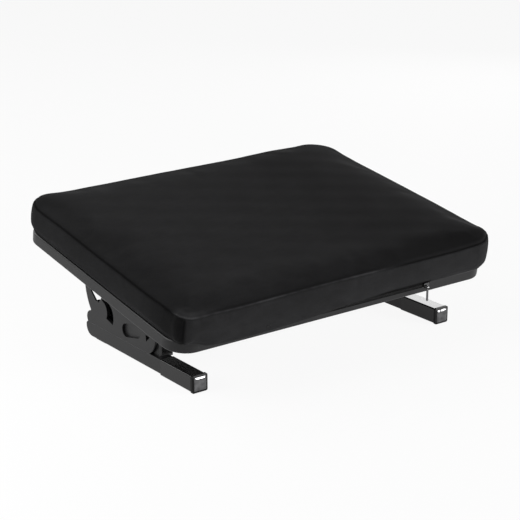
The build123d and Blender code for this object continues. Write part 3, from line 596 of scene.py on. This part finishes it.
# %% [markdown]
# ## One closed mesh
# The three sheets share their edge points, so the numbers of the points are laid out once: the top grid,
# then the rows of the band, then the bottom grid. Faces are made from those numbers as arrays, with all of
# them facing out. Each point also keeps its distance from the top seam, measured over the cloth, for the
# sewing later: above zero on the top panel, below zero on the band, and far below on the bottom, which has
# no sewing.

# %% One closed mesh
FOOT_HEIGHT = 12.4
BOTTOM_MARK = -90.0


def quads(numbers, turned=False):
    """Faces between neighbouring rows and columns of a grid of point numbers."""
    a, b, c, d = numbers[:-1, :-1], numbers[:-1, 1:], numbers[1:, 1:], numbers[1:, :-1]
    order = (a, d, c, b) if turned else (a, b, c, d)
    return np.stack([corner.ravel() for corner in order], axis=1)


def build(name, places, faces, material):
    """A smooth mesh object at the origin from arrays of places in metres and faces."""
    mesh = bpy.data.meshes.new(name)
    mesh.from_pydata(places.tolist(), [], faces.tolist())
    mesh.update()
    mesh.shade_smooth()
    mesh.materials.append(material)
    made = bpy.data.objects.new(name, mesh)
    bpy.context.scene.collection.objects.link(made)
    return made


def read_points(mesh, what):
    """One array with a row for each point of a mesh: its place, co, or its normal."""
    flat = np.empty(len(mesh.vertices) * 3)
    mesh.vertices.foreach_get(what, flat)
    return flat.reshape(-1, 3)


panel_size = top_across.size
band_size = band_across.size
top_numbers = np.arange(panel_size).reshape(top_across.shape)
band_numbers = panel_size + np.arange(band_size).reshape(band_across.shape)
foot_numbers = panel_size + band_size + np.arange(panel_size).reshape(top_across.shape)
ladder = np.vstack([rim(top_numbers), band_numbers, rim(foot_numbers)])
ladder = np.hstack([ladder, ladder[:, :1]])
cushion_faces = np.vstack([quads(top_numbers), quads(ladder, turned=True), quads(foot_numbers, turned=True)])
band_places = in_room(band_across, band_uphill, band_height)
seam_places = in_room(seam_across, seam_uphill, SEAM_HEIGHT + lift(seam_across, seam_uphill))
band_steps = np.diff(np.concatenate([seam_places[None], band_places]), axis=0)
down_band = np.cumsum(np.linalg.norm(band_steps, axis=2), axis=0) / MM
cushion_places = np.vstack(
    [
        in_room(top_across.ravel(), top_uphill.ravel(), top_height.ravel()),
        band_places.reshape(-1, 3),
        in_room(foot_across.ravel(), foot_uphill.ravel(), np.full(panel_size, FOOT_HEIGHT)),
    ]
)
from_seam = np.concatenate([depth_in.ravel(), -down_band.ravel(), np.full(panel_size, BOTTOM_MARK)])
cushion = build("velvet_cushion", cushion_places, cushion_faces, velvet)
cushion.data.attributes.new("from_seam", "FLOAT", "POINT").data.foreach_set("value", from_seam)
print("cushion", len(cushion_places), "points", len(cushion_faces), "faces")

# %% [markdown]
# ## Settling
# A cloth run lets the cover find its own shape. The bottom and the tucked edge are held, the seam is
# shortened a little, as stitching draws cloth in, and the foam's push is a gentle pressure from inside with
# no gravity. Twenty frames are enough. No point may move more than a few millimetres from where it was
# drawn, so the cushion keeps its size. One subdivision then smooths the result.

# %% Settling
HELD_ROWS = 3
MOST_MOVE = 3.5
CLOTH_FRAMES = 20
FOAM_PUSH = 4.0
SEAM_SHRINK = 0.03


def settle(piece, held, drawn_in):
    """Runs Cloth on a piece and takes it off again. Returns the places, with each move capped in length, and
    how far the cloth wanted to move each point."""
    start = read_points(piece.data, "co")
    piece.vertex_groups.new(name="held").add(held.tolist(), 1.0, "REPLACE")
    piece.vertex_groups.new(name="drawn_in").add(drawn_in.tolist(), 1.0, "REPLACE")
    cloth = piece.modifiers.new("cloth", "CLOTH")
    cloth.settings.use_pressure = True
    cloth.settings.uniform_pressure_force = FOAM_PUSH
    cloth.settings.effector_weights.gravity = 0.0
    cloth.settings.vertex_group_mass = "held"
    cloth.settings.vertex_group_shrink = "drawn_in"
    cloth.settings.shrink_min = 0.0
    cloth.settings.shrink_max = SEAM_SHRINK
    cloth.collision_settings.use_collision = False
    for number in range(1, CLOTH_FRAMES + 1):
        bpy.context.scene.frame_set(number)
    settled = read_points(piece.evaluated_get(bpy.context.evaluated_depsgraph_get()).data, "co")
    bpy.context.scene.frame_set(1)
    piece.modifiers.remove(cloth)
    piece.vertex_groups.clear()
    move = settled - start
    length = np.linalg.norm(move, axis=1, keepdims=True)
    return start + move * np.minimum(1.0, MOST_MOVE * MM / np.maximum(length, 1e-9)), length


held_points = np.concatenate([band_numbers[-HELD_ROWS:].ravel(), foot_numbers.ravel()])
settled_places, moved = settle(cushion, held_points, rim(top_numbers))
cushion.data.vertices.foreach_set("co", settled_places.ravel())
print("settled, mean move", (moved.mean() / MM).round(2), "mm, most", (moved.max() / MM).round(2), "mm")
smoothing = cushion.modifiers.new("smoothing", "SUBSURF")
smoothing.levels = smoothing.render_levels = 1
smooth_mesh = bpy.data.meshes.new_from_object(cushion.evaluated_get(bpy.context.evaluated_depsgraph_get()))
cushion.modifiers.remove(smoothing)
cushion.data = smooth_mesh
print("cushion", len(smooth_mesh.vertices), "points after one subdivision")

# %% [markdown]
# ## Sewing
# The fine shapes are moves along the surface normal. The stitched seam pulls the cloth in along its line.
# On the front it stands up as a thin, broken fold with a crease behind it on the top panel, and at the
# sharp corner a flap of the top stands out and is given a painted highlight. Small puckers run down from the
# seam, stronger along the front where the zip lets the cover slip, and the top has slow dents. A pucker is
# a sum of a few sine waves whose lengths don't divide each other, faded out with the distance from the seam.
# The sharp corner itself is one upright crease, and the short stretch of the left side beside it gets
# painted shade, a darker colour with no change of shape. Each of these is first a number at every point,
# from about 0 to 1, that says how much of it is there.

# %% Sewing
CORNER_MIDDLE = (-SEAM["half_width"] - SLIP + SHARP_RADIUS, SEAM["near"] + SHARP_RADIUS)
PUCKER_WAVES = ((7.3, 0.4), (11.9, 1.3), (17.7, 2.9), (29.3, 4.1))
DENT_WAVES = ((83.0, 41.0, 0.7), (-57.0, 97.0, 2.2), (143.0, -71.0, 3.6))
FRONT_STRIP = (-8.0, 18.0)
FOLD_ENDS = (20.0, 90.0)
FLAP_ENDS = (-214.0, -172.0)
places = read_points(smooth_mesh, "co")
inward = np.empty(len(places))
smooth_mesh.attributes["from_seam"].data.foreach_get("value", inward)
gap = np.abs(inward)
across, uphill, height = on_deck(places)
near_front = 1 - smooth_step(uphill, *FRONT_STRIP)
folded = near_front * (1 - smooth_step(across, *FOLD_ENDS))
broken = 0.55 + 0.3 * np.sin(across / 3.7 + 0.5) * np.sin(across / 5.9 + 2.0)
broken += 0.3 * np.sin(across / 21.0 + 1.0)
along = np.where(near_front > 0.5, across, uphill)
pucker = sum(np.sin(2 * np.pi * along / length + phase) for length, phase in PUCKER_WAVES) / len(PUCKER_WAVES)
dents = sum(np.sin(2 * np.pi * (across / x + uphill / y) + phase) for x, y, phase in DENT_WAVES)
dents /= len(DENT_WAVES)
ridge = folded * broken * hump(inward, 0.2, 0.75)
crease = folded * hump(inward, 2.6, 1.6)
shade = folded * smooth_step(inward, 0.0, 2.0) * np.exp(-np.maximum(inward, 0) / 6.0)
line = (1 - folded) * hump(inward, 0.0, 1.4)
flap = near_front * (1 - smooth_step(across, *FLAP_ENDS)) * smooth_step(inward, -1.0, 0.5)
flap *= 1 - smooth_step(inward, 4.0, 11.0)
round_corner = (across - CORNER_MIDDLE[0] - uphill + CORNER_MIDDLE[1]) / math.sqrt(2)
at_corner = (across < CORNER_MIDDLE[0]) & (uphill < CORNER_MIDDLE[1]) & (inward < 0)
upright = hump(round_corner, 1.0, 1.8) * at_corner * smooth_step(gap, 0.0, 4.0)
painted_dark_side = (across < CORNER_MIDDLE[0]) * (inward < 0) * smooth_step(-uphill, -75.0, 4.0)
painted_dark_side *= 1 - smooth_step(round_corner, -2.0, 3.0)
print("points on the fold", int((ridge > 0.3).sum()), "in the upright crease", int((upright > 0.3).sum()))

# %% [markdown]
# ## Moves and tone
# The move of a point is the sum of those numbers, each times its height in millimetres. The cloth that is
# tucked away below the band stays put. The same numbers paint light and shade into the pile's colour:
# painted shade in the seam line, the creases and above the fold, painted highlights on the fold and the
# flap. The front band is painted paler as painted light, and the top darker towards the right as painted
# shade.

# %% Moves and tone
SEAM_PINCH = 1.3
FOLD = 0.55
CREASE = 0.6
FLAP = 0.6
CORNER_CREASE = 0.8
DENT = 0.35
PUCKER_REACH = 8.0
TUCKED_BELOW = 17.5
move = FOLD * ridge - CREASE * crease - SEAM_PINCH * line + FLAP * flap - CORNER_CREASE * upright
move += (0.2 + 0.6 * near_front) * pucker * np.exp(-gap / PUCKER_REACH) * smooth_step(-inward, 0.0, 2.0)
move += DENT * dents * smooth_step(inward, 8.0, 40.0)
places += read_points(smooth_mesh, "normal") * (move * (height > TUCKED_BELOW))[:, None] * MM
# Painted highlights on the fold and the flap; painted shade in the seam line, the creases and above the fold.
painted_tone = 1 + 2.4 * ridge - 0.3 * crease - 0.25 * shade - 0.8 * line + flap * (1.0 + 0.9 * broken)
# Painted light: the front band is painted paler.
painted_tone += near_front * (0.25 * smooth_step(-inward, 8.0, 34.0) + 0.28 * smooth_step(-inward, 0.5, 3.0))
# Painted shade: the top is painted darker towards the right.
painted_tone *= 1 - 0.6 * smooth_step(across, -190.0, 200.0) * smooth_step(inward, 0.0, 6.0)
# Painted shade: the upright crease at the corner and the stretch of the left side beside it.
painted_tone = np.clip(painted_tone * (1 - 0.7 * upright) * (1 - 0.6 * painted_dark_side), 0.1, 3.0)
print("moves up to", np.abs(move).max().round(2), "mm, tone", painted_tone.min().round(2), "to", painted_tone.max().round(2))

# %% [markdown]
# ## Zip groove
# The zip lies in a narrow groove along the lower roll, and the velvet closes over it towards the left.
# Points in the groove are pushed straight back to its floor, with a soft shoulder on both sides.

# %% Zip groove
ZIP_HEIGHT = 18.6
ZIP_HALF_LENGTH = 119.0
GROOVE_FLOOR = -12.25
GROOVE_SHADE = 0.85
OPENS = (5.0, 60.0)
SLIT = 0.7
WIDER = 2.7
SHOULDER = 1.2
CLOSED_SHARE = 0.12
across, uphill, height = on_deck(places)
opened = smooth_step(across, *OPENS)
opening = SLIT + WIDER * opened
inside = 1 - smooth_step(np.abs(height - ZIP_HEIGHT), opening, opening + SHOULDER)
inside *= 1 - smooth_step(np.abs(across), ZIP_HALF_LENGTH, ZIP_HALF_LENGTH + 3.0)
inside *= (uphill < 0) * (CLOSED_SHARE + (1 - CLOSED_SHARE) * opened)
uphill += inside * np.maximum(GROOVE_FLOOR - uphill, 0)
places = in_room(across, uphill, height)
smooth_mesh.vertices.foreach_set("co", places.ravel())
# Painted shade: the pile in the open part of the groove is painted darker.
painted_tone *= 1 - GROOVE_SHADE * inside * opened
smooth_mesh.attributes.new("painted_light_tone", "FLOAT", "POINT").data.foreach_set("value", painted_tone)
smooth_mesh.update()
smooth_mesh.shade_smooth()
print("points in the groove", int((inside > 0.5).sum()))

# %% [markdown]
# ## What the cushion rides on
# The sewn cushion moves with the body that lifts off, and stands in for the solid cover and the foam inside
# it.

# %% What the cushion rides on
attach(cushion, "cushion")
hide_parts("cushion_cover", "foam_core")
print("cushion rides, in place of its cover and foam")

# %% [markdown]
# ## Coils of the zip
# A coil zip is two springs of nylon thread, one sewn to each tape, whose loops hook into each other. Each
# coil is a flattened helix: the point goes round an ellipse while it moves along the zip. A thin round
# thread is carried along it. Both coils have the same pitch, half a turn apart.

# %% Coils of the zip
CHAIN_BOX = [np.array(corner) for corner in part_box("zip_chain")]
COIL_PITCH = 1.3
THREAD = 0.34
COIL_SWAY = 0.85
COIL_RISE = 0.52
COIL_ASIDE = 0.5
ROUND_TURN = 10
ROUND_THREAD = 6


def helix(turns, lead, sway, rise):
    """Centre line of a flattened helix: along grows evenly, aside is a cosine and out a sine."""
    turn = np.linspace(0, 2 * np.pi * turns, int(turns * ROUND_TURN) + 1)
    return turn / (2 * np.pi) * COIL_PITCH + lead, sway * np.cos(turn), rise * np.sin(turn)


def thread_round(line, radius):
    """Grid of points on a tube: at each place of the line, a circle in the plane square to its direction."""
    ahead = np.gradient(line, axis=0)
    ahead /= np.linalg.norm(ahead, axis=1, keepdims=True)
    aside = np.cross(ahead, np.array([1.0, 0.0, 0.0]) + 0.001)
    aside /= np.linalg.norm(aside, axis=1, keepdims=True)
    above = np.cross(ahead, aside)
    turn = np.linspace(0, 2 * np.pi, ROUND_THREAD + 1)[:, None, None]
    return (line + radius * (np.cos(turn) * aside + np.sin(turn) * above)).transpose(1, 0, 2)


chain_length = (CHAIN_BOX[1][0] - CHAIN_BOX[0][0]) / MM
_, chain_uphill, chain_height = on_deck((CHAIN_BOX[0] + CHAIN_BOX[1]) / 2)
coil_places, coil_faces, first = [], [], 0
for side in (-1.0, 1.0):
    lead = COIL_PITCH * (0.6 + 0.25 * side) - chain_length / 2
    run, aside, out = helix(int(chain_length / COIL_PITCH) - 1, lead, COIL_SWAY, COIL_RISE)
    line = in_room(run, chain_uphill - out, ZIP_HEIGHT + side * COIL_ASIDE + aside)
    tube = thread_round(line / MM, THREAD) * MM
    numbers = first + np.arange(tube.shape[0] * ROUND_THREAD).reshape(tube.shape[0], ROUND_THREAD)
    coil_places.append(tube[:, :-1].reshape(-1, 3))
    coil_faces.append(quads(np.hstack([numbers, numbers[:, :1]])))
    first += numbers.size
coils = build("zip_coils", np.vstack(coil_places), np.vstack(coil_faces), coil_nylon)
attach(coils, "cushion")
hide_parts("zip_chain")
print("coils", first, "points", "at height", chain_height.round(2))

# %% [markdown]
# ## Floor
# The footrest stands on a plain pale paper. To the camera it is almost pure white, and the rest of it takes
# the shadows. Shiny surfaces mirror it too, but only a little where it runs forward to the photographer,
# which keeps the edges that face the camera black.

# %% Floor
FLOOR_REACH = 6
FLOOR_POINTS = 25
TO_THE_CAMERA = (-0.6, -0.8, 0.0)
SEEN_WHITE = 0.92
floor_line = np.linspace(-FLOOR_REACH, FLOOR_REACH, FLOOR_POINTS)
floor_grid = np.stack(np.meshgrid(floor_line, floor_line), axis=-1).reshape(-1, 2)
floor_places = np.column_stack([floor_grid, np.zeros(len(floor_grid))])
paper, tree, shader, place = new_finish("white_paper", Roughness=0.9, Specular_IOR_Level=0.1)
shader.inputs["Base Color"].default_value = linear("#f4f4f4")
rays = add(tree, "ShaderNodeLightPath")
towards_us = add(tree, "ShaderNodeVectorMath", {0: place}, {1: TO_THE_CAMERA}, operation="DOT_PRODUCT")
dim = {"From Min": 0.33, "From Max": 0.46, "To Min": 0.6, "To Max": 0.06}
bright = add(tree, "ShaderNodeMapRange", {"Value": towards_us.outputs["Value"]}, dim)
glossy = {0: rays.outputs["Is Glossy Ray"], 1: bright.outputs["Result"]}
mirrored = add(tree, "ShaderNodeMath", glossy, operation="MULTIPLY")
direct = {0: rays.outputs["Is Camera Ray"], 2: mirrored.outputs["Value"]}
share = add(tree, "ShaderNodeMath", direct, {1: SEEN_WHITE}, operation="MULTIPLY_ADD")
white = add(tree, "ShaderNodeEmission", None, {"Color": (1, 1, 1, 1), "Strength": 1.0})
shaders = {"Fac": share.outputs["Value"], 1: shader.outputs["BSDF"], 2: white.outputs["Emission"]}
blended = add(tree, "ShaderNodeMixShader", shaders)
tree.links.new(blended.outputs["Shader"], tree.nodes["Material Output"].inputs["Surface"])
floor_numbers = np.arange(len(floor_places)).reshape(FLOOR_POINTS, FLOOR_POINTS)
floor = build("paper_floor", floor_places, quads(floor_numbers), paper)
print("floor", len(floor_places), "points")

# %% [markdown]
# ## Surroundings
# The world is white to the camera and to shiny surfaces, so that gloss has something to mirror, and much
# dimmer as a source of light. Behind the photographer the room is dark.

# %% Surroundings
AWAY_FROM_STUDIO = (-0.57, -0.76, 0.31)
ROOM_LIGHT = 0.13
world = bpy.data.worlds.new("studio")
world.use_nodes = True
tree = world.node_tree
backdrop = tree.nodes["Background"]
rays = add(tree, "ShaderNodeLightPath")
either = {0: rays.outputs["Is Camera Ray"], 1: rays.outputs["Is Glossy Ray"]}
seen = add(tree, "ShaderNodeMath", either, operation="MAXIMUM")
either = {0: seen.outputs["Value"], 1: rays.outputs["Is Transmission Ray"]}
seen = add(tree, "ShaderNodeMath", either, operation="MAXIMUM")
heading = add(tree, "ShaderNodeTexCoord").outputs["Generated"]
behind = add(tree, "ShaderNodeVectorMath", {0: heading}, {1: AWAY_FROM_STUDIO}, operation="DOT_PRODUCT")
fading = {"From Min": 0.5, "From Max": 0.9, "To Min": 1.0, "To Max": 0.2}
dark_room = add(tree, "ShaderNodeMapRange", {"Value": behind.outputs["Value"]}, fading)
mirrored = {"Factor": seen.outputs["Value"], "B": dark_room.outputs["Result"]}
level = add(tree, "ShaderNodeMix", mirrored, {"A": ROOM_LIGHT}, data_type="FLOAT")
tree.links.new(level.outputs["Result"], backdrop.inputs["Strength"])
backdrop.inputs["Color"].default_value = (1, 1, 1, 1)
bpy.context.scene.world = world
print("world", world.name, "with", len(tree.nodes), "nodes")

# %% [markdown]
# ## Soft boxes
# Wide area lamps stand for the soft boxes: one beside the left, one low at the front right that the plugs
# mirror, one at the rear left that draws a bright line along the upper edges, and a small one at the rear
# right that the right tube's top mirrors. None of them is seen by the camera itself.

# %% Soft boxes


def soft_box(name, place, aim, size, watts):
    """A square area lamp at a place, turned to face a point."""
    data = bpy.data.lights.new(name, "AREA")
    data.size = size
    data.energy = watts
    lamp = bpy.data.objects.new(name, data)
    lamp.location = place
    lamp.visible_camera = False
    away = np.array(place) - np.array(aim)
    flat = math.hypot(away[0], away[1])
    lamp.rotation_euler = (math.atan2(flat, away[2]), 0, math.atan2(away[0], -away[1]))
    bpy.context.scene.collection.objects.link(lamp)


soft_box("left_box", place=(-0.95, 0.1, 0.6), aim=(-0.15, 0, 0.1), size=0.6, watts=7.5)
soft_box("front_right_box", place=(1.14, -1.84, 0.32), aim=(0, -0.1, 0.06), size=0.9, watts=66)
soft_box("rear_left_box", place=(-0.75, 1.7, 1.3), aim=(-0.15, 0, 0.05), size=1.0, watts=13)
soft_box("rear_right_box", place=(1.43, 0.97, 0.64), aim=(0.2, -0.1, 0.03), size=0.6, watts=4)
bpy.context.scene.view_settings.view_transform = "Standard"
print("four soft boxes")
